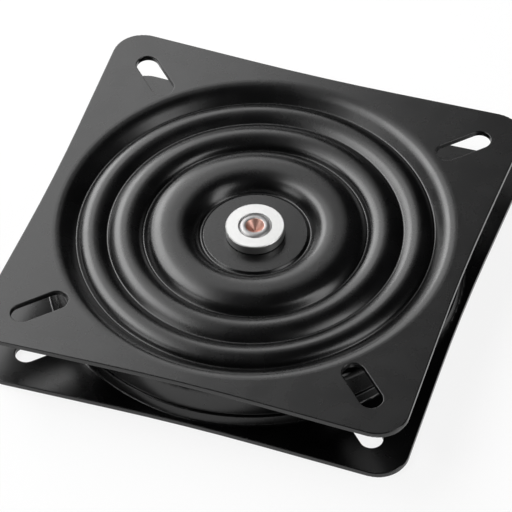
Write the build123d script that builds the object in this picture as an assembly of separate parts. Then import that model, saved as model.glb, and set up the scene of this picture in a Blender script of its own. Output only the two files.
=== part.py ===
from build123d import *

import os
from math import cos, radians, sin, tan

# Seat swivel plate: two pressed steel plates that turn on a caged ring of balls, held by one rivet.
# Millimetres. Z is the swivel axis, and the lower plate stands on z = 0.
# X and Y run along the diagonals of the square plates, through the mounting slots.

# Plate blanks
SIDE = 178.0
SHEET = 2.5
CORNER_RADIUS = 12.5
SIDE_DRAW = 2.8
SIDE_BEND_RADIUS = 1000.0
EDGE_ROUND = 0.4
SIDE_ANGLES = (45, 135, 225, 315)

# Mounting slots on the diagonals, with their outer ends at the same radius on both plates
SLOT_WIDTH = 9.2
SLOT_LENGTH = 24.0
SLOT_SPAN = 189.0
LOWER_SLOT_LENGTH = 19.0

# Upper plate: the dish, its ridges and creases, seen on the top face
UPPER_LAND = 6.7
LIP_RUN = 2.5
LIP_SLOPE = 17.5
LIP_BEND = 12.0
SHOULDER_RUN = 5.1
SHOULDER_BEND = 3.5
OUTER_CREASE_DEPTH = 4.8
MIDDLE_CREASE_DEPTH = 3.8
INNER_CREASE_DEPTH = 4.9
CREASE_BEND = 0.5
CROWN_SLOPE = 30.0
CROWN_FULLNESS = 0.8
CROWN_EDGE_BEND = 2.4
RACE_RIDGE_WIDTH = 12.4
RACE_RIDGE_WALL = 1.2
RACE_RIDGE_DEPTH = 1.4
INNER_RIDGE_WIDTH = 14.4
INNER_RIDGE_WALL = 1.5
INNER_RIDGE_DEPTH = 0.8
DOME_WALL = 3.0
DOME_EDGE_DEPTH = 1.75
DOME_DEPTH = 0.05
DOME_OUTER_SLOPE = 19.5
DOME_INNER_SLOPE = 57.0
DOME_FALL = 0.15
DOME_BEND = 9.0
TROUGH_DEPTH = 5.7
TROUGH_WIDTH = 0.8
PAD_RADIUS = 21.0
PAD_DEPTH = 4.9
PAD_EDGE = 0.8
PAD_BEND = 0.4

# Lower plate: the step, wall and deck of the pan, seen on the top face
LOWER_LAND = 1.8
STEP_HEIGHT = 4.2
STEP_RUN = 1.3
STEP_TREAD = 1.0
STEP_BEND = 1.0
WALL_RUN = 0.9
DECK_HEIGHT = 18.7
DECK_BEND = 3.2
GROOVE_DEPTH = 2.4
GROOVE_RADIUS = 4.5
GROOVE_SLOPE = 40.0
INNER_LAND = 5.0
FLOOR_RUN = 1.6

# Ball ring
BALL_DIAMETER = 6.0
BALL_COUNT = 24
CAGE_WIDTH = 8.2
CAGE_SHEET = 0.8

# Rivet and washers
SHANK_RADIUS = 6.0
HEAD_RADIUS = 9.5
HEAD_HEIGHT = 3.2
HEAD_CROWN = 0.6
SPACER_RADIUS = 14.0
SPACER_THICKNESS = 2.2
WASHER_RADIUS = 11.9
WASHER_THICKNESS = 4.4
WASHER_BREAK = 0.35
COUNTERSINK_RADIUS = 6.9
COUNTERSINK_DEPTH = 1.6
RIM_RADIUS = 6.45
RIM_DROP = 0.7
RIM_CROWN = 0.35
RECESS_RADIUS = 3.7
RECESS_DEPTH = 3.4
RECESS_TIP = 0.4

# Clearances
BALL_GAP = 0.3
POCKET_GAP = 0.2
SHANK_GAP = 0.08
FACE_GAP = 0.1
SEAM_LAND = 0.3
EDGE_FILL = 0.98


def slope_tangent(bend, turn):
    """Length of straight edge that a bend takes up on each side of a corner that turns by so many degrees."""
    return bend * tan(radians(turn / 2))


def crest_rise(bend, slope):
    """Height from a bend's round top to the sharp corner that it replaces."""
    return bend * (1 / cos(radians(slope)) - 1)


# Upper dish, by radius from the swivel axis
LIP_RADIUS = SIDE / 2 - SIDE_DRAW - UPPER_LAND
DISH_RADIUS = LIP_RADIUS + slope_tangent(LIP_BEND, LIP_SLOPE) + SEAM_LAND
SHOULDER_RADIUS = LIP_RADIUS - LIP_RUN
SHOULDER_DEPTH = LIP_RUN * tan(radians(LIP_SLOPE))
OUTER_CREASE = SHOULDER_RADIUS - SHOULDER_RUN
MIDDLE_CREASE = OUTER_CREASE - RACE_RIDGE_WIDTH
INNER_CREASE = MIDDLE_CREASE - INNER_RIDGE_WIDTH
RACE_RADIUS = OUTER_CREASE - RACE_RIDGE_WIDTH / 2

# Lower pan, by radius from the swivel axis
STEP_FOOT = SIDE / 2 - SIDE_DRAW - LOWER_LAND
PAN_RADIUS = STEP_FOOT + STEP_BEND + SEAM_LAND
STEP_EDGE = STEP_FOOT - STEP_RUN
WALL_FOOT = STEP_EDGE - STEP_TREAD
WALL_TOP = WALL_FOOT - WALL_RUN

# Heights of the stack, from the floor up
BALL_RADIUS = BALL_DIAMETER / 2
GROOVE_HEIGHT = DECK_HEIGHT - GROOVE_DEPTH
BALL_HEIGHT = GROOVE_HEIGHT + BALL_GAP + BALL_RADIUS
UPPER_TOP = BALL_HEIGHT + BALL_RADIUS + BALL_GAP + SHEET + RACE_RIDGE_DEPTH
PAD_TOP = UPPER_TOP - PAD_DEPTH
FLOOR_HEIGHT = PAD_TOP - SHEET - FACE_GAP - SPACER_THICKNESS
WASHER_BASE = PAD_TOP + FACE_GAP
WASHER_TOP = WASHER_BASE + WASHER_THICKNESS
HOLE_RADIUS = SHANK_RADIUS + SHANK_GAP


def shifted(points, distance):
    """Points of an open line moved sideways, to the left of its direction, with mitred corners."""
    normals = [(b - a).normalized().rotate(Axis.Z, 90) for a, b in zip(points, points[1:])]
    before = [normals[0], *normals]
    after = [*normals, normals[-1]]
    return [p + (m + n) * (distance / (1 + m.dot(n))) for p, m, n in zip(points, before, after)]


def turns_left(before, corner, after):
    """True where the line through three points bends to its left."""
    return (corner - before).cross(after - corner).Z > 0


def fitted(points, bends):
    """Bend radii, cut back where two neighbours don't fit on the edge they share, the larger first."""
    edges = [b - a for a, b in zip(points, points[1:])]
    turns = [a.get_angle(b) for a, b in zip(edges, edges[1:])]
    fits = list(bends)
    for i, edge in enumerate(edges[1:-1]):
        room = EDGE_FILL * edge.length
        (less, smaller), (more, larger) = sorted((slope_tangent(fits[j], turns[j]), j) for j in (i, i + 1))
        fits[smaller] *= min(1, room / 2 / less)
        fits[larger] *= min(1, max(room - less, room / 2) / more)
    return fits


def sheet_section(outer, bends, inner):
    """Section of a pressed sheet, from its top line's outer end through its bends to the inner end.

    Each bend is a radius from the axis, a height and the radius of its fillet on the top face.
    """
    top = [Vector(*outer), *[Vector(x, z) for x, z, _ in bends], Vector(*inner)]
    top_bends = [bend for _, _, bend in bends]
    corners = zip(top, top[1:], top[2:], top_bends)
    under_bends = [max(r - SHEET, PAD_BEND) if turns_left(a, b, c) else r + SHEET for a, b, c, r in corners]
    under = shifted(top, SHEET)
    with BuildSketch(Plane.XZ) as section:
        with BuildLine():
            FilletPolyline(*top, radius=fitted(top, top_bends))
            FilletPolyline(*under, radius=fitted(under, under_bends))
            Line(top[0], under[0])
            Line(top[-1], under[-1])
        make_face()
    return section.sketch


def blank(top, opening, slot_length):
    """Flat square blank with its slots and rounded edges, open in the middle for the pressed dish."""
    half = SIDE / 2
    slot_radius = (SLOT_SPAN + SLOT_LENGTH - slot_length) / 2
    side = [Vector(half - SIDE_DRAW, 0), Vector(half, half)]
    outline = [point.rotate(Axis.Z, turn) for turn in SIDE_ANGLES for point in side]
    bends = [SIDE_BEND_RADIUS, CORNER_RADIUS] * len(SIDE_ANGLES)
    with BuildPart(Plane.XY.offset(top - SHEET)) as flat:
        with BuildSketch(Plane.XY.offset(top - SHEET)):
            with BuildLine():
                FilletPolyline(*outline, radius=bends, close=True)
            make_face()
            with PolarLocations(slot_radius, len(SIDE_ANGLES)):
                SlotOverall(slot_length, SLOT_WIDTH, mode=Mode.SUBTRACT)
        extrude(amount=SHEET)
        rims = flat.faces().filter_by(Axis.Z)
        fillet(rims.edges(), EDGE_ROUND)
        Cylinder(opening, 4 * SHEET, mode=Mode.SUBTRACT)
    return flat.part


def ridge(outer, width, wall, crest_depth):
    """Bends of a crowned ridge inside a crease: its outer edge, its crest and its inner edge, by depth."""
    half = width / 2 - wall
    crest_bend = CROWN_FULLNESS * half / sin(radians(CROWN_SLOPE))
    apex = crest_depth - crest_rise(crest_bend, CROWN_SLOPE)
    edge = apex + half * tan(radians(CROWN_SLOPE))
    middle = outer - width / 2
    return [
        (middle + half, edge, CROWN_EDGE_BEND),
        (middle, apex, crest_bend),
        (middle - half, edge, CROWN_EDGE_BEND),
    ]


def upper_plate():
    """Upper plate: blank, dish with two ridges and a dome, and the centre pad on the rivet."""
    dome_edge = INNER_CREASE - DOME_WALL
    dome_outer = dome_edge - (DOME_EDGE_DEPTH - DOME_DEPTH) / tan(radians(DOME_OUTER_SLOPE))
    dome_fall = DOME_DEPTH + DOME_FALL
    trough_outer = PAD_RADIUS + PAD_EDGE + TROUGH_WIDTH
    dome_inner = trough_outer + (TROUGH_DEPTH - dome_fall) / tan(radians(DOME_INNER_SLOPE))
    by_depth = [
        (LIP_RADIUS, 0, LIP_BEND),
        (SHOULDER_RADIUS, SHOULDER_DEPTH, SHOULDER_BEND),
        (OUTER_CREASE, OUTER_CREASE_DEPTH, CREASE_BEND),
        *ridge(OUTER_CREASE, RACE_RIDGE_WIDTH, RACE_RIDGE_WALL, RACE_RIDGE_DEPTH),
        (MIDDLE_CREASE, MIDDLE_CREASE_DEPTH, CREASE_BEND),
        *ridge(MIDDLE_CREASE, INNER_RIDGE_WIDTH, INNER_RIDGE_WALL, INNER_RIDGE_DEPTH),
        (INNER_CREASE, INNER_CREASE_DEPTH, CREASE_BEND),
        (dome_edge, DOME_EDGE_DEPTH, CROWN_EDGE_BEND),
        (dome_outer, DOME_DEPTH, DOME_BEND),
        (dome_inner, dome_fall, DOME_BEND),
        (trough_outer, TROUGH_DEPTH, CREASE_BEND),
        (PAD_RADIUS + PAD_EDGE, TROUGH_DEPTH, PAD_BEND),
        (PAD_RADIUS, PAD_DEPTH, PAD_BEND),
    ]
    bends = [(radius, UPPER_TOP - depth, bend) for radius, depth, bend in by_depth]
    dish = revolve(sheet_section((DISH_RADIUS, UPPER_TOP), bends, (HOLE_RADIUS, PAD_TOP)), Axis.Z)
    return blank(UPPER_TOP, DISH_RADIUS, SLOT_LENGTH) + dish


def lower_plate():
    """Lower plate: blank, stepped pan wall, deck with the ball groove, and the centre floor on the rivet."""
    groove_rise = crest_rise(GROOVE_RADIUS, GROOVE_SLOPE)
    groove_half = (GROOVE_DEPTH + groove_rise) / tan(radians(GROOVE_SLOPE))
    land_edge = RACE_RADIUS - groove_half - INNER_LAND
    bends = [
        (STEP_FOOT, SHEET, STEP_BEND),
        (STEP_EDGE, SHEET + STEP_HEIGHT, STEP_BEND),
        (WALL_FOOT, SHEET + STEP_HEIGHT, PAD_BEND),
        (WALL_TOP, DECK_HEIGHT, DECK_BEND),
        (RACE_RADIUS + groove_half, DECK_HEIGHT, DECK_BEND),
        (RACE_RADIUS, GROOVE_HEIGHT - groove_rise, GROOVE_RADIUS),
        (RACE_RADIUS - groove_half, DECK_HEIGHT, DECK_BEND),
        (land_edge, DECK_HEIGHT, DECK_BEND),
        (land_edge - FLOOR_RUN, FLOOR_HEIGHT, STEP_BEND),
    ]
    pan = revolve(sheet_section((PAN_RADIUS, SHEET), bends, (HOLE_RADIUS, FLOOR_HEIGHT)), Axis.Z)
    return blank(SHEET, PAN_RADIUS, LOWER_SLOT_LENGTH) + pan


def pivot_rivet():
    """Rivet: crowned head under the lower plate, plain shank, and the end closed over in the washer."""
    head_top = FLOOR_HEIGHT - SHEET
    head_base = head_top - HEAD_HEIGHT
    flare = WASHER_TOP - COUNTERSINK_DEPTH
    rim = Vector(RIM_RADIUS, WASHER_TOP - RIM_DROP)
    mouth = Vector(RECESS_RADIUS, WASHER_TOP)
    crown = (rim + mouth) * 0.5 + Vector(RIM_CROWN, RIM_CROWN)
    with BuildSketch(Plane.XZ) as section:
        with BuildLine():
            Polyline((0, WASHER_TOP - RECESS_DEPTH), (0, head_base - HEAD_CROWN))
            ThreePointArc((0, head_base - HEAD_CROWN), (HEAD_RADIUS / 2, head_base - HEAD_CROWN * 3 / 4),
                          (HEAD_RADIUS, head_base))
            Polyline((HEAD_RADIUS, head_base), (HEAD_RADIUS, head_top), (SHANK_RADIUS, head_top),
                     (SHANK_RADIUS, flare), rim)
            ThreePointArc(rim, crown, mouth)
            Polyline(mouth, (RECESS_TIP, WASHER_TOP - RECESS_DEPTH), (0, WASHER_TOP - RECESS_DEPTH))
        make_face()
    return revolve(section.sketch, Axis.Z)


def top_washer():
    """Thick washer on the centre pad, countersunk for the rivet's closed end."""
    with BuildSketch(Plane.XZ) as section:
        with BuildLine():
            Polyline(
                (HOLE_RADIUS, WASHER_BASE),
                (WASHER_RADIUS - WASHER_BREAK, WASHER_BASE),
                (WASHER_RADIUS, WASHER_BASE + WASHER_BREAK),
                (WASHER_RADIUS, WASHER_TOP - WASHER_BREAK),
                (WASHER_RADIUS - WASHER_BREAK, WASHER_TOP),
                (COUNTERSINK_RADIUS, WASHER_TOP),
                (HOLE_RADIUS, WASHER_TOP - COUNTERSINK_DEPTH),
                close=True,
            )
        make_face()
    return revolve(section.sketch, Axis.Z)


def spacer_washer():
    """Plain washer between the plates, on the lower plate's centre floor."""
    with BuildPart(Plane.XY.offset(FLOOR_HEIGHT)) as washer:
        with BuildSketch(Plane.XY.offset(FLOOR_HEIGHT)):
            Circle(SPACER_RADIUS)
            Circle(HOLE_RADIUS, mode=Mode.SUBTRACT)
        extrude(amount=SPACER_THICKNESS)
    return washer.part


def ball_cage():
    """Flat retainer ring with a round pocket for each ball."""
    with BuildPart() as cage:
        with BuildSketch(Plane.XY.offset(BALL_HEIGHT - CAGE_SHEET / 2)):
            Circle(RACE_RADIUS + CAGE_WIDTH / 2)
            Circle(RACE_RADIUS - CAGE_WIDTH / 2, mode=Mode.SUBTRACT)
            with PolarLocations(RACE_RADIUS, BALL_COUNT):
                Circle(BALL_RADIUS + POCKET_GAP, mode=Mode.SUBTRACT)
        extrude(amount=CAGE_SHEET)
    return cage.part


def balls():
    """Steel balls, one in each pocket of the cage."""
    places = PolarLocations(RACE_RADIUS, BALL_COUNT)
    return [Pos(0, 0, BALL_HEIGHT) * place * Sphere(BALL_RADIUS) for place in places]


pieces = {
    "upper_plate": upper_plate(),
    "lower_plate": lower_plate(),
    "pivot_rivet": pivot_rivet(),
    "top_washer": top_washer(),
    "spacer_washer": spacer_washer(),
    "ball_cage": ball_cage(),
}
for number, ball in enumerate(balls(), start=1):
    pieces[f"ball_{number:02d}"] = ball

os.makedirs("parts", exist_ok=True)
for name, piece in pieces.items():
    export_step(piece, f"parts/{name}.step")
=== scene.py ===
from math import atan2, cos, radians, sin
from typing import NamedTuple

import bmesh
import bpy
import numpy as np
from bpy.props import FloatProperty, FloatVectorProperty, IntProperty, PointerProperty
from bpy.types import NodeSocket, Operator, Panel, PropertyGroup
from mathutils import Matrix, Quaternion, Vector


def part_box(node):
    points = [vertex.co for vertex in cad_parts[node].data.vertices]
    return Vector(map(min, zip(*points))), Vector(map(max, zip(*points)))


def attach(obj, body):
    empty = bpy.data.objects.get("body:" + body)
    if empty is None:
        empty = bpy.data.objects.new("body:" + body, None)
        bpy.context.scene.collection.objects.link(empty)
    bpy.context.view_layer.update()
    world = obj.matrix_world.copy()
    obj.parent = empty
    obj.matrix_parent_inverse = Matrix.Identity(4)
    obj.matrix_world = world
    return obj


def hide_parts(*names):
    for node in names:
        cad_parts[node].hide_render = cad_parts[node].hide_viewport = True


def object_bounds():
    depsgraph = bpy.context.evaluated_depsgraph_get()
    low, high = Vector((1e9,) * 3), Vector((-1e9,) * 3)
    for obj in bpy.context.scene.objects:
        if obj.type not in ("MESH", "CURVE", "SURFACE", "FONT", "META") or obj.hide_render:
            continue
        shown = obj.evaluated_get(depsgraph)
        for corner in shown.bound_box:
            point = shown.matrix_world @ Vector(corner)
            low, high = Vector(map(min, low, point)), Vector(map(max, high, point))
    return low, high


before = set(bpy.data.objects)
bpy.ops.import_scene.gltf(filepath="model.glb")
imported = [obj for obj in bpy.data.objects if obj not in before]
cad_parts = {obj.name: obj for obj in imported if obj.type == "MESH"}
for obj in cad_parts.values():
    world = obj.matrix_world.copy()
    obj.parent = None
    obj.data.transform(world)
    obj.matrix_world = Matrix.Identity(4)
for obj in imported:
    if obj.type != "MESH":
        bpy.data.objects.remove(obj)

bl_info = {
    "name": "Seat swivel plate",
    "version": (1, 0, 0),
    "blender": (4, 5, 0),
    "location": "3D View > Sidebar > Swivel",
    "description": "Finishes, drawn dish, ball ring and studio for a square seat swivel",
    "category": "Object",
}

# Places and sizes read from the frame, in metres
CAD_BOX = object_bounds()
UPPER_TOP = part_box("upper_plate")[1].z
RIVET_LOW, RIVET_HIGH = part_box("pivot_rivet")
BALL_NODES = sorted(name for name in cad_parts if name.startswith("ball_") and name != "ball_cage")
BALL_LOW, BALL_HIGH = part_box(BALL_NODES[0])
BALL_CENTRE = (BALL_LOW + BALL_HIGH) / 2

# Camera
FRAME_PIXELS = 512  # width of the picture
SENSOR_WIDTH = 36.0  # width of the sensor, in millimetres
FAR_END = 4  # how far the camera sees, in floor radii

# Noise of the finishes
PLAIN, SOFT, ROUGH, FINE = 1.0, 2.0, 3.0, 4.0  # layers of detail
NOISE_LOW, NOISE_HIGH = 0.3, 0.7  # part of its range that counts
RING_DRIFT = 4  # how far a ring strays, in ring widths

# Coat, in metres
BLOTCH_SIZE = 0.022  # width of the light patches
GLOSS_SIZE = 0.012  # width of the patches of even gloss
GLOSS_SPREAD = 0.03  # change of roughness either way
PRESS_WANDER = 0.03  # length over which a press ring strays

# Turned steel, in metres
TURNED_WANDER = 0.004  # length over which a turning mark strays
STAIN_SIZE = 0.002  # width of the stains
STAIN_SHADE = 0.9  # brightness left in a stain
TURNED_SPREAD = 0.04  # change of roughness either way

# Rivet, in metres
RIVET_WANDER = 0.003  # length over which a mark strays
RIVET_MARK_SIZE = 0.0003  # width of a mark
RIVET_MARK_DEPTH = 0.000004  # depth of a mark
RIVET_SPREAD = 0.05  # change of roughness either way
COPPER_LUMP = 0.0012  # width of the lumps in the copper's edge
COPPER_WOBBLE = 0.0001  # how far the copper's edge strays

# Dish
UPWARD = 0.2  # least upward share of the normal of a face that gives the outline
RING_PLACES = 5  # decimal places kept of a ring's radius and height
POINTS_PER_RING = 8  # points of the outline that are averaged, for each ring drawn
MERGE_DISTANCE = 0.000001  # corners nearer than this are one, in metres
LEVEL = 0.99999  # least upright share of the normal of a level face

# Balls
BALL_SEGMENTS, BALL_RINGS = 40, 20

# Studio
CARD_WHITE = 0.9  # how much light the floor gives back
FLOOR_SEGMENTS = 128
FLOOR_DROP = 0.00005  # gap between the floor and the lower plate, in metres
HORIZON_LOW, HORIZON_HIGH = 0.02, 0.12  # heights between which the horizon's light fades


class Turning(NamedTuple):
    """Gloss of a turned piece, and the width and depth of its turning marks in metres."""

    roughness: float
    mark_size: float
    mark_depth: float


WASHER_TURNING = Turning(roughness=0.48, mark_size=0.0004, mark_depth=0.0000006)
SPACER_TURNING = Turning(roughness=0.4, mark_size=0.0005, mark_depth=0.000005)
CAGE_TURNING = Turning(roughness=0.35, mark_size=0.0008, mark_depth=0.000004)
BALL_TURNING = Turning(roughness=0.12, mark_size=0.0006, mark_depth=0.000001)


class Lamp(NamedTuple):
    """A softbox: angles in degrees, the bearing to the left of the camera's view, metres and watts."""

    name: str
    bearing: float
    elevation: float
    roll: float
    distance: float
    width: float
    height: float
    power: float


LAMPS = (
    Lamp("main_panel", bearing=31.5, elevation=44, roll=37, distance=0.75,
         width=0.94, height=0.5, power=4.4),
    Lamp("panel_edge", bearing=49, elevation=43, roll=46, distance=0.75,
         width=1.17, height=0.25, power=4.4),
    Lamp("right_strip", bearing=-119, elevation=33, roll=7, distance=0.75,
         width=0.29, height=0.68, power=2.6),
    Lamp("right_fill", bearing=-11, elevation=49, roll=0, distance=0.75,
         width=0.16, height=0.5, power=0.1),
    Lamp("left_fill", bearing=108, elevation=38, roll=20, distance=0.75,
         width=0.3, height=0.25, power=0.9),
    Lamp("back_strip", bearing=20, elevation=4, roll=0, distance=1.2,
         width=2.0, height=0.16, power=1.2),
)


def plug(tree, socket, value):
    """Fills an input with a plain value, or joins it to another node's output."""
    if isinstance(value, NodeSocket):
        tree.links.new(value, socket)
    else:
        socket.default_value = value


def add(tree, kind, inputs=None, **settings):
    """Adds a node with its settings, and fills or joins its inputs by name or number."""
    node = tree.nodes.new(kind)
    for name, value in settings.items():
        setattr(node, name, value)
    for key, value in (inputs or {}).items():
        plug(tree, node.inputs[key], value)
    return node


def new_material(name, **values):
    """A material with its node tree and its shader, whose plain values are set by name."""
    material = bpy.data.materials.new(name)
    material.use_nodes = True
    shader = material.node_tree.nodes["Principled BSDF"]
    for key, value in values.items():
        shader.inputs[key.replace("_", " ").title()].default_value = value
    return material, material.node_tree, shader


def place(tree):
    """Where a point lies on the piece, in metres."""
    return add(tree, "ShaderNodeTexCoord").outputs["Object"]


def radius_of(tree, position):
    """Distance of a point from the swivel axis."""
    flat = add(tree, "ShaderNodeVectorMath", {0: position, 1: (1, 1, 0)}, operation="MULTIPLY")
    return add(tree, "ShaderNodeVectorMath", {0: flat.outputs[0]}, operation="LENGTH").outputs["Value"]


def noise(tree, position, size, detail):
    """Soft noise whose lumps are about this size in metres."""
    inputs = {"Vector": position, "Scale": 1 / size, "Detail": detail}
    return add(tree, "ShaderNodeTexNoise", inputs).outputs["Fac"]


def reckon(tree, operation, first, second):
    """One step of arithmetic on two values."""
    return add(tree, "ShaderNodeMath", {0: first, 1: second}, operation=operation).outputs[0]


def ring_noise(tree, position, size, wander):
    """Noise drawn out along the circles round the axis, as a press or a lathe leaves it."""
    shift = reckon(tree, "MULTIPLY", noise(tree, position, wander, PLAIN), RING_DRIFT * size)
    radius = reckon(tree, "ADD", radius_of(tree, position), shift)
    inputs = {"W": radius, "Scale": 1 / size, "Detail": ROUGH}
    return add(tree, "ShaderNodeTexNoise", inputs, noise_dimensions="1D").outputs["Fac"]


def spread(tree, value, low, high):
    """Turns noise about a half into a value between two ends."""
    inputs = {"Value": value, "From Min": NOISE_LOW, "From Max": NOISE_HIGH, "To Min": low, "To Max": high}
    return add(tree, "ShaderNodeMapRange", inputs).outputs["Result"]


def tint(tree, factor, first, second):
    """A colour between two others."""
    mix = add(tree, "ShaderNodeMix", data_type="RGBA")
    plug(tree, mix.inputs["Factor"], factor)
    plug(tree, mix.inputs["A"], (*first, 1))
    plug(tree, mix.inputs["B"], (*second, 1))
    return mix.outputs["Result"]


def bump(tree, height, depth, normal=None):
    """Surface relief of a given depth in metres, over another relief if there is one."""
    inputs = {"Height": height, "Distance": depth, "Strength": 1.0}
    if normal is not None:
        inputs["Normal"] = normal
    return add(tree, "ShaderNodeBump", inputs).outputs["Normal"]


def coat_material(coat):
    """Satin black coat on pressed steel: fine peel, faint press rings and uneven gloss."""
    material, tree, shader = new_material("satin_black_coat")
    here = place(tree)
    lighter = [part * coat.mottle for part in coat.colour]
    blotch = spread(tree, noise(tree, here, BLOTCH_SIZE, ROUGH), 0, 1)
    plug(tree, shader.inputs["Base Color"], tint(tree, blotch, coat.colour, lighter))
    patches = noise(tree, here, GLOSS_SIZE, FINE)
    gloss = spread(tree, patches, coat.roughness - GLOSS_SPREAD, coat.roughness + GLOSS_SPREAD)
    plug(tree, shader.inputs["Roughness"], gloss)
    relief = bump(tree, ring_noise(tree, here, coat.ring_size, PRESS_WANDER), coat.ring_depth)
    relief = bump(tree, noise(tree, here, coat.peel_size, SOFT), coat.peel_depth, relief)
    plug(tree, shader.inputs["Normal"], relief)
    return material


def turned_material(name, colour, turning):
    """Bare or plated steel with the fine circles that turning leaves."""
    material, tree, shader = new_material(name, metallic=1.0)
    here = place(tree)
    marks = ring_noise(tree, here, turning.mark_size, TURNED_WANDER)
    darker = [part * STAIN_SHADE for part in colour]
    stains = noise(tree, here, STAIN_SIZE, ROUGH)
    plug(tree, shader.inputs["Base Color"], tint(tree, stains, darker, colour))
    gloss = spread(tree, marks, turning.roughness - TURNED_SPREAD, turning.roughness + TURNED_SPREAD)
    plug(tree, shader.inputs["Roughness"], gloss)
    plug(tree, shader.inputs["Normal"], bump(tree, marks, turning.mark_depth))
    return material


def rivet_material(rivet):
    """Steel rivet whose recess at the closed end is copper coloured."""
    material, tree, shader = new_material("rivet_steel", metallic=1.0)
    here = place(tree)
    height = add(tree, "ShaderNodeSeparateXYZ", {0: here}).outputs["Z"]
    wobble = spread(tree, noise(tree, here, COPPER_LUMP, SOFT), -COPPER_WOBBLE, COPPER_WOBBLE)
    reach = reckon(tree, "ADD", radius_of(tree, here), wobble)
    inside = reckon(tree, "LESS_THAN", reach, rivet.copper_radius)
    above = reckon(tree, "GREATER_THAN", height, (RIVET_LOW.z + RIVET_HIGH.z) / 2)
    recess = reckon(tree, "MULTIPLY", inside, above)
    plug(tree, shader.inputs["Base Color"], tint(tree, recess, rivet.steel, rivet.copper))
    marks = ring_noise(tree, here, RIVET_MARK_SIZE, RIVET_WANDER)
    gloss = spread(tree, marks, rivet.roughness - RIVET_SPREAD, rivet.roughness + RIVET_SPREAD)
    plug(tree, shader.inputs["Roughness"], gloss)
    plug(tree, shader.inputs["Normal"], bump(tree, marks, RIVET_MARK_DEPTH))
    return material


def dress(node, material):
    """Gives a frame node its finish."""
    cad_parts[node].material_slots[0].material = material


class SwivelCoat(PropertyGroup):
    """Black coat of both plates."""

    colour: FloatVectorProperty(
        name="Coat colour", description="Colour of the coat", subtype="COLOR", size=3, min=0, max=1,
        default=(0.0012, 0.0012, 0.0013))
    mottle: FloatProperty(
        name="Mottle", description="How many times lighter the light patches are", default=2.0)
    roughness: FloatProperty(
        name="Roughness", description="Middle of the coat's uneven gloss", default=0.27)
    peel_size: FloatProperty(
        name="Peel size", description="Width of the coat's fine lumps", unit="LENGTH", default=0.0006)
    peel_depth: FloatProperty(
        name="Peel depth", description="Height of the coat's fine lumps", unit="LENGTH", default=0.000006)
    ring_size: FloatProperty(
        name="Ring size", description="Spacing of the faint press rings", unit="LENGTH", default=0.0012)
    ring_depth: FloatProperty(
        name="Ring depth", description="Height of the faint press rings", unit="LENGTH", default=0.000004)


class SwivelDish(PropertyGroup):
    """Pressed dish of the upper plate."""

    pad_radius: FloatProperty(
        name="Pad radius", description="Where the dish meets its centre pad", unit="LENGTH", default=0.0208)
    rim_radius: FloatProperty(
        name="Rim radius", description="Where the dish meets the flange", unit="LENGTH", default=0.0814)
    sheet: FloatProperty(
        name="Sheet", description="Thickness of the plate", unit="LENGTH", default=0.0025)
    rings: IntProperty(name="Rings", description="How many rings the dish is drawn with", default=240)
    softness: FloatProperty(
        name="Softness", description="How fast the bends soften away from a crease", default=0.3)
    crease_width: FloatProperty(
        name="Crease width", description="Softening in the creases", unit="LENGTH", default=0.0001)
    bend_width: FloatProperty(
        name="Bend width", description="Softening of the other bends", unit="LENGTH", default=0.0012)


class SwivelRivet(PropertyGroup):
    """Rivet and washers."""

    steel: FloatVectorProperty(
        name="Steel", description="Colour of the rivet", subtype="COLOR", size=3, min=0, max=1,
        default=(0.3, 0.295, 0.295))
    copper: FloatVectorProperty(
        name="Copper", description="Colour of the rivet's recess", subtype="COLOR", size=3, min=0, max=1,
        default=(0.57, 0.345, 0.29))
    copper_radius: FloatProperty(
        name="Copper radius", description="Reach of the copper colour", unit="LENGTH", default=0.0038)
    roughness: FloatProperty(name="Roughness", description="Middle of the rivet's gloss", default=0.48)
    washer: FloatVectorProperty(
        name="Washer", description="Colour of the plated washer", subtype="COLOR", size=3, min=0, max=1,
        default=(0.63, 0.63, 0.625))
    plain: FloatVectorProperty(
        name="Plain steel", description="Colour of the cage and the spacer", subtype="COLOR", size=3,
        min=0, max=1, default=(0.5, 0.5, 0.5))


class SwivelBalls(PropertyGroup):
    """Ball ring."""

    count: IntProperty(
        name="Balls", description="How many balls run in the ring", default=len(BALL_NODES))
    radius: FloatProperty(
        name="Ball radius", description="Radius of a ball", unit="LENGTH",
        default=(BALL_HIGH.z - BALL_LOW.z) / 2)
    race: FloatProperty(
        name="Race radius", description="Radius of the circle that the balls run on", unit="LENGTH",
        default=BALL_CENTRE.to_2d().length)
    height: FloatProperty(
        name="Height", description="Height of the balls' centres", unit="LENGTH", default=BALL_CENTRE.z)
    colour: FloatVectorProperty(
        name="Ball steel", description="Colour of the balls", subtype="COLOR", size=3, min=0, max=1,
        default=(0.75, 0.75, 0.76))


class SwivelStage(PropertyGroup):
    """Camera and studio."""

    azimuth: FloatProperty(
        name="Azimuth", description="Direction the camera looks in, from +X", unit="ROTATION",
        default=radians(65.66))
    elevation: FloatProperty(
        name="Elevation", description="How steeply the camera looks down", unit="ROTATION",
        default=radians(48.05))
    roll: FloatProperty(
        name="Roll", description="Turn of the camera about its line of sight", unit="ROTATION",
        default=radians(-2.27))
    distance: FloatProperty(
        name="Distance", description="From the camera to its aim", unit="LENGTH", default=1.5475)
    aim: FloatVectorProperty(
        name="Aim", description="Point on the upper plate that the camera looks at", subtype="XYZ", size=3,
        default=(-0.00701, -0.01533, UPPER_TOP))
    focal_pixels: FloatProperty(
        name="Focal length", description="Focal length in pixels of the square picture", default=3892.0)
    floor_radius: FloatProperty(
        name="Floor radius", description="Reach of the floor", unit="LENGTH", default=8.0)
    floor_white: FloatProperty(
        name="Floor white", description="Share of plain white in the floor, over its shadow", default=0.85)
    sky: FloatProperty(
        name="Sky", description="Light of the studio above the horizon", default=0.008)
    horizon: FloatProperty(
        name="Horizon", description="Light of the studio at the horizon", default=0.5)


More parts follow.
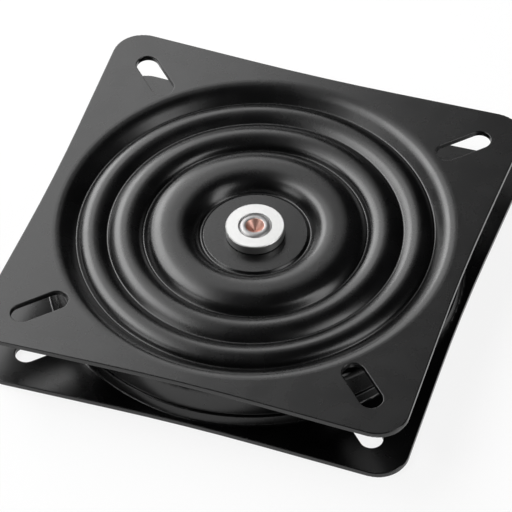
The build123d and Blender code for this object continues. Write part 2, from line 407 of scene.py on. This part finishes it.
class SWIVEL_OT_coat(Operator):
    """Coat both plates"""

    bl_idname = "swivel.coat"
    bl_label = "Coat the plates"

    def execute(self, context):
        material = coat_material(context.scene.swivel_coat)
        dress("upper_plate", material)
        dress("lower_plate", material)
        return {"FINISHED"}


def top_outline(mesh, inner, outer):
    """Radii and heights of the rings on a plate's top face, from the pad out to the flange."""
    rings = set()
    for face in mesh.polygons:
        if face.normal.z > UPWARD:
            for corner in face.vertices:
                spot = mesh.vertices[corner].co
                reach = spot.to_2d().length
                if inner <= reach <= outer:
                    rings.add((round(reach, RING_PLACES), round(spot.z, RING_PLACES)))
    radii, heights = zip(*sorted(rings))
    return np.array(radii), np.array(heights)


def drawn(radii, heights, dish):
    """The same outline with its bends softened as a press draws them, sharp only in the creases."""
    fine = np.linspace(radii[0], radii[-1], dish.rings * POINTS_PER_RING)
    height = np.interp(fine, radii, heights)
    inner = height[1:-1]
    lowest = (inner < height[:-2]) & (inner <= height[2:])
    creases = fine[1:-1][lowest]
    wanted = np.linspace(radii[0], radii[-1], dish.rings)
    gap = np.abs(wanted[:, None] - creases).min(axis=1)
    gap = np.minimum(gap, np.minimum(wanted - radii[0], radii[-1] - wanted))
    width = np.clip(dish.softness * gap, dish.crease_width, dish.bend_width)
    share = np.exp(-0.5 * ((fine - wanted[:, None]) / width[:, None]) ** 2)
    return wanted, (share * height).sum(axis=1) / share.sum(axis=1)


def is_above(face, radii, heights, sheet):
    """Whether a face lies on the outline or near it, and so not on the underside."""
    middle = face.calc_center_median()
    reach = middle.to_2d().length
    return radii[0] < reach < radii[-1] and middle.z > np.interp(reach, radii, heights) - sheet / 2


def draw_dish(shape, radii, heights, sheet):
    """Takes the dish's top face out of a plate's mesh and draws it anew, ring by ring."""
    inner, outer = radii[0], radii[-1]
    old = [face for face in shape.faces if is_above(face, radii, heights, sheet)]
    bmesh.ops.delete(shape, geom=old, context="FACES")
    bare = [edge for edge in shape.edges if edge.is_boundary]
    far = [edge for edge in bare if edge.verts[0].co.to_2d().length > (inner + outer) / 2]
    near = [edge for edge in bare if edge not in far]
    ends = {vert for edge in far for vert in edge.verts}
    ring = sorted(ends, key=lambda vert: atan2(vert.co.y, vert.co.x))
    ways = [vert.co.to_2d().normalized() for vert in ring]
    fresh = []
    for radius, height in zip(radii[-2:0:-1], heights[-2:0:-1]):
        following = [shape.verts.new((way.x * radius, way.y * radius, height)) for way in ways]
        for k in range(len(ring)):
            fresh.append(shape.faces.new((following[k - 1], ring[k - 1], ring[k], following[k])))
        ring = following
    last = [shape.edges.get((ring[k - 1], ring[k])) for k in range(len(ring))]
    fresh += bmesh.ops.bridge_loops(shape, edges=last + near)["faces"]
    for face in fresh:
        face.smooth = True


def corner_normals(mesh):
    """The face's own normal at each corner of a level face, and none at the others, which stay smooth."""
    normals = []
    for face in mesh.polygons:
        normal = face.normal if abs(face.normal.z) > LEVEL else (0, 0, 0)
        normals += [normal] * len(face.vertices)
    return normals


class SWIVEL_OT_dish(Operator):
    """Draw the upper plate's dish with soft bends"""

    bl_idname = "swivel.dish"
    bl_label = "Draw the dish"

    def execute(self, context):
        dish = context.scene.swivel_dish
        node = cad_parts["upper_plate"]
        radii, heights = drawn(*top_outline(node.data, dish.pad_radius, dish.rim_radius), dish)
        shape = bmesh.new()
        shape.from_mesh(node.data)
        bmesh.ops.remove_doubles(shape, verts=shape.verts, dist=MERGE_DISTANCE)
        draw_dish(shape, radii, heights, dish.sheet)
        mesh = bpy.data.meshes.new("drawn_plate")
        shape.to_mesh(mesh)
        shape.free()
        mesh.materials.append(node.material_slots[0].material)
        mesh.normals_split_custom_set(corner_normals(mesh))
        piece = bpy.data.objects.new("drawn_plate", mesh)
        context.scene.collection.objects.link(piece)
        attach(piece, "seat_side")
        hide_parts("upper_plate")
        return {"FINISHED"}


class SWIVEL_OT_rivet(Operator):
    """Finish the rivet and the washers"""

    bl_idname = "swivel.rivet"
    bl_label = "Finish the rivet"

    def execute(self, context):
        rivet = context.scene.swivel_rivet
        dress("pivot_rivet", rivet_material(rivet))
        dress("top_washer", turned_material("bright_zinc", rivet.washer, WASHER_TURNING))
        dress("spacer_washer", turned_material("plain_steel", rivet.plain, SPACER_TURNING))
        dress("ball_cage", turned_material("cage_steel", rivet.plain, CAGE_TURNING))
        return {"FINISHED"}


def ball_tree():
    """Geometry Nodes tree that sets balls round a circle."""
    tree = bpy.data.node_groups.new("ball_ring", "GeometryNodeTree")
    wanted = (
        ("Count", "NodeSocketInt"),
        ("Ball Radius", "NodeSocketFloat"),
        ("Race Radius", "NodeSocketFloat"),
        ("Height", "NodeSocketFloat"),
        ("Material", "NodeSocketMaterial"),
    )
    for name, kind in wanted:
        tree.interface.new_socket(name, in_out="INPUT", socket_type=kind)
    tree.interface.new_socket("Geometry", in_out="OUTPUT", socket_type="NodeSocketGeometry")
    given = add(tree, "NodeGroupInput").outputs
    sizes = {"Vertices": given["Count"], "Radius": given["Race Radius"]}
    circle = add(tree, "GeometryNodeMeshCircle", sizes).outputs[0]
    lift = add(tree, "ShaderNodeCombineXYZ", {"Z": given["Height"]}).outputs[0]
    ring = add(tree, "GeometryNodeSetPosition", {"Geometry": circle, "Offset": lift}).outputs[0]
    sizes = {"Segments": BALL_SEGMENTS, "Rings": BALL_RINGS, "Radius": given["Ball Radius"]}
    ball = add(tree, "GeometryNodeMeshUVSphere", sizes).outputs[0]
    smooth = add(tree, "GeometryNodeSetShadeSmooth", {"Geometry": ball}).outputs[0]
    balls = add(tree, "GeometryNodeInstanceOnPoints", {"Points": ring, "Instance": smooth}).outputs[0]
    real = add(tree, "GeometryNodeRealizeInstances", {"Geometry": balls}).outputs[0]
    inputs = {"Geometry": real, "Material": given["Material"]}
    finished = add(tree, "GeometryNodeSetMaterial", inputs).outputs[0]
    add(tree, "NodeGroupOutput", {"Geometry": finished})
    return tree


def grown(name, tree, values):
    """A plain mesh object from a Geometry Nodes tree whose inputs are set by name."""
    piece = bpy.data.objects.new(name, bpy.data.meshes.new(f"{name}_seed"))
    bpy.context.scene.collection.objects.link(piece)
    modifier = piece.modifiers.new(name, "NODES")
    modifier.node_group = tree
    for item in tree.interface.items_tree:
        if item.in_out == "INPUT":
            modifier[item.identifier] = values[item.name]
    ready = piece.evaluated_get(bpy.context.evaluated_depsgraph_get())
    mesh = bpy.data.meshes.new_from_object(ready)
    piece.modifiers.clear()
    piece.data = mesh
    mesh.name = name
    return piece


class SWIVEL_OT_balls(Operator):
    """Set the balls in their ring"""

    bl_idname = "swivel.balls"
    bl_label = "Set the balls"

    def execute(self, context):
        balls = context.scene.swivel_balls
        material = turned_material("ball_steel", balls.colour, BALL_TURNING)
        piece = grown("ball_set", ball_tree(), {
            "Count": balls.count,
            "Ball Radius": balls.radius,
            "Race Radius": balls.race,
            "Height": balls.height,
            "Material": material,
        })
        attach(piece, "ball_ring")
        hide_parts(*BALL_NODES)
        return {"FINISHED"}


def floor_material(stage):
    """White floor: plain white with part of the shadow where it is seen, and white card to the light."""
    material = bpy.data.materials.new("white_floor")
    material.use_nodes = True
    tree = material.node_tree
    tree.nodes.clear()
    card = add(tree, "ShaderNodeBsdfDiffuse", {"Color": (CARD_WHITE, CARD_WHITE, CARD_WHITE, 1)}).outputs[0]
    white = add(tree, "ShaderNodeEmission", {"Strength": 1.0}).outputs[0]
    path = add(tree, "ShaderNodeLightPath").outputs
    seen = reckon(tree, "MAXIMUM", path["Is Camera Ray"], path["Is Glossy Ray"])
    seen = reckon(tree, "MAXIMUM", seen, path["Is Transmission Ray"])
    share = reckon(tree, "MULTIPLY", seen, stage.floor_white)
    mix = add(tree, "ShaderNodeMixShader", {0: share, 1: card, 2: white})
    add(tree, "ShaderNodeOutputMaterial", {"Surface": mix.outputs[0]})
    return material


def lay_floor(stage):
    """Round floor under the lower plate."""
    mesh = bpy.data.meshes.new("floor")
    shape = bmesh.new()
    bmesh.ops.create_circle(shape, cap_ends=True, segments=FLOOR_SEGMENTS, radius=stage.floor_radius)
    shape.to_mesh(mesh)
    shape.free()
    mesh.materials.append(floor_material(stage))
    floor = bpy.data.objects.new("floor", mesh)
    floor.location.z = CAD_BOX[0].z - FLOOR_DROP
    bpy.context.scene.collection.objects.link(floor)


def light_world(stage):
    """Studio round the object: pale at the horizon and dim above it."""
    world = bpy.data.worlds.new("studio")
    world.use_nodes = True
    bpy.context.scene.world = world
    tree = world.node_tree
    way = add(tree, "ShaderNodeTexCoord").outputs["Generated"]
    up = add(tree, "ShaderNodeSeparateXYZ", {0: way}).outputs["Z"]
    inputs = {
        "Value": up,
        "From Min": HORIZON_LOW,
        "From Max": HORIZON_HIGH,
        "To Min": stage.horizon,
        "To Max": stage.sky,
    }
    level = add(tree, "ShaderNodeMapRange", inputs).outputs["Result"]
    plug(tree, tree.nodes["Background"].inputs["Color"], (1, 1, 1, 1))
    plug(tree, tree.nodes["Background"].inputs["Strength"], level)


def direction(azimuth, elevation):
    """Unit vector at an azimuth from +X and an elevation over the floor."""
    return Vector((cos(azimuth) * cos(elevation), sin(azimuth) * cos(elevation), sin(elevation)))


def hang_lamp(lamp, stage):
    """Softbox that faces the swivel axis."""
    light = bpy.data.lights.new(lamp.name, "AREA")
    light.shape = "RECTANGLE"
    light.size = lamp.width
    light.size_y = lamp.height
    light.energy = lamp.power
    holder = bpy.data.objects.new(lamp.name, light)
    out = direction(stage.azimuth + radians(lamp.bearing), radians(lamp.elevation))
    holder.location = Vector((0, 0, UPPER_TOP)) + out * lamp.distance
    holder.rotation_mode = "QUATERNION"
    holder.rotation_quaternion = out.to_track_quat("Z", "Y") @ Quaternion((0, 0, 1), radians(lamp.roll))
    bpy.context.scene.collection.objects.link(holder)


def set_camera(stage):
    """Camera at the picture's view."""
    lens = bpy.data.cameras.new("camera")
    lens.sensor_width = SENSOR_WIDTH
    lens.lens = stage.focal_pixels / FRAME_PIXELS * SENSOR_WIDTH
    lens.clip_end = FAR_END * stage.floor_radius
    camera = bpy.data.objects.new("camera", lens)
    look = direction(stage.azimuth, -stage.elevation)
    camera.location = Vector(stage.aim) - look * stage.distance
    camera.rotation_mode = "QUATERNION"
    camera.rotation_quaternion = look.to_track_quat("-Z", "Y") @ Quaternion((0, 0, 1), stage.roll)
    bpy.context.scene.collection.objects.link(camera)
    bpy.context.scene.camera = camera


class SWIVEL_OT_stage(Operator):
    """Lay the floor, hang the lamps and set the camera"""

    bl_idname = "swivel.stage"
    bl_label = "Set the stage"

    def execute(self, context):
        stage = context.scene.swivel_stage
        lay_floor(stage)
        light_world(stage)
        for lamp in LAMPS:
            hang_lamp(lamp, stage)
        set_camera(stage)
        context.scene.view_settings.view_transform = "Standard"
        return {"FINISHED"}


OPERATORS = (SWIVEL_OT_coat, SWIVEL_OT_dish, SWIVEL_OT_rivet, SWIVEL_OT_balls, SWIVEL_OT_stage)


class SWIVEL_PT_sidebar(Panel):
    """Steps of the swivel's build"""

    bl_idname = "SWIVEL_PT_sidebar"
    bl_label = "Seat swivel"
    bl_space_type = "VIEW_3D"
    bl_region_type = "UI"
    bl_category = "Swivel"

    def draw(self, context):
        for step in OPERATORS:
            self.layout.operator(step.bl_idname)


GROUPS = {
    "swivel_coat": SwivelCoat,
    "swivel_dish": SwivelDish,
    "swivel_rivet": SwivelRivet,
    "swivel_balls": SwivelBalls,
    "swivel_stage": SwivelStage,
}


def register():
    for group in GROUPS.values():
        bpy.utils.register_class(group)
    for name, group in GROUPS.items():
        setattr(bpy.types.Scene, name, PointerProperty(type=group))
    for step in (*OPERATORS, SWIVEL_PT_sidebar):
        bpy.utils.register_class(step)


def unregister():
    for step in reversed((*OPERATORS, SWIVEL_PT_sidebar)):
        bpy.utils.unregister_class(step)
    for name in GROUPS:
        delattr(bpy.types.Scene, name)
    for group in reversed(GROUPS.values()):
        bpy.utils.unregister_class(group)


def main():
    register()
    bpy.ops.swivel.coat()
    bpy.ops.swivel.dish()
    bpy.ops.swivel.rivet()
    bpy.ops.swivel.balls()
    bpy.ops.swivel.stage()


if __name__ == "__main__":
    main()
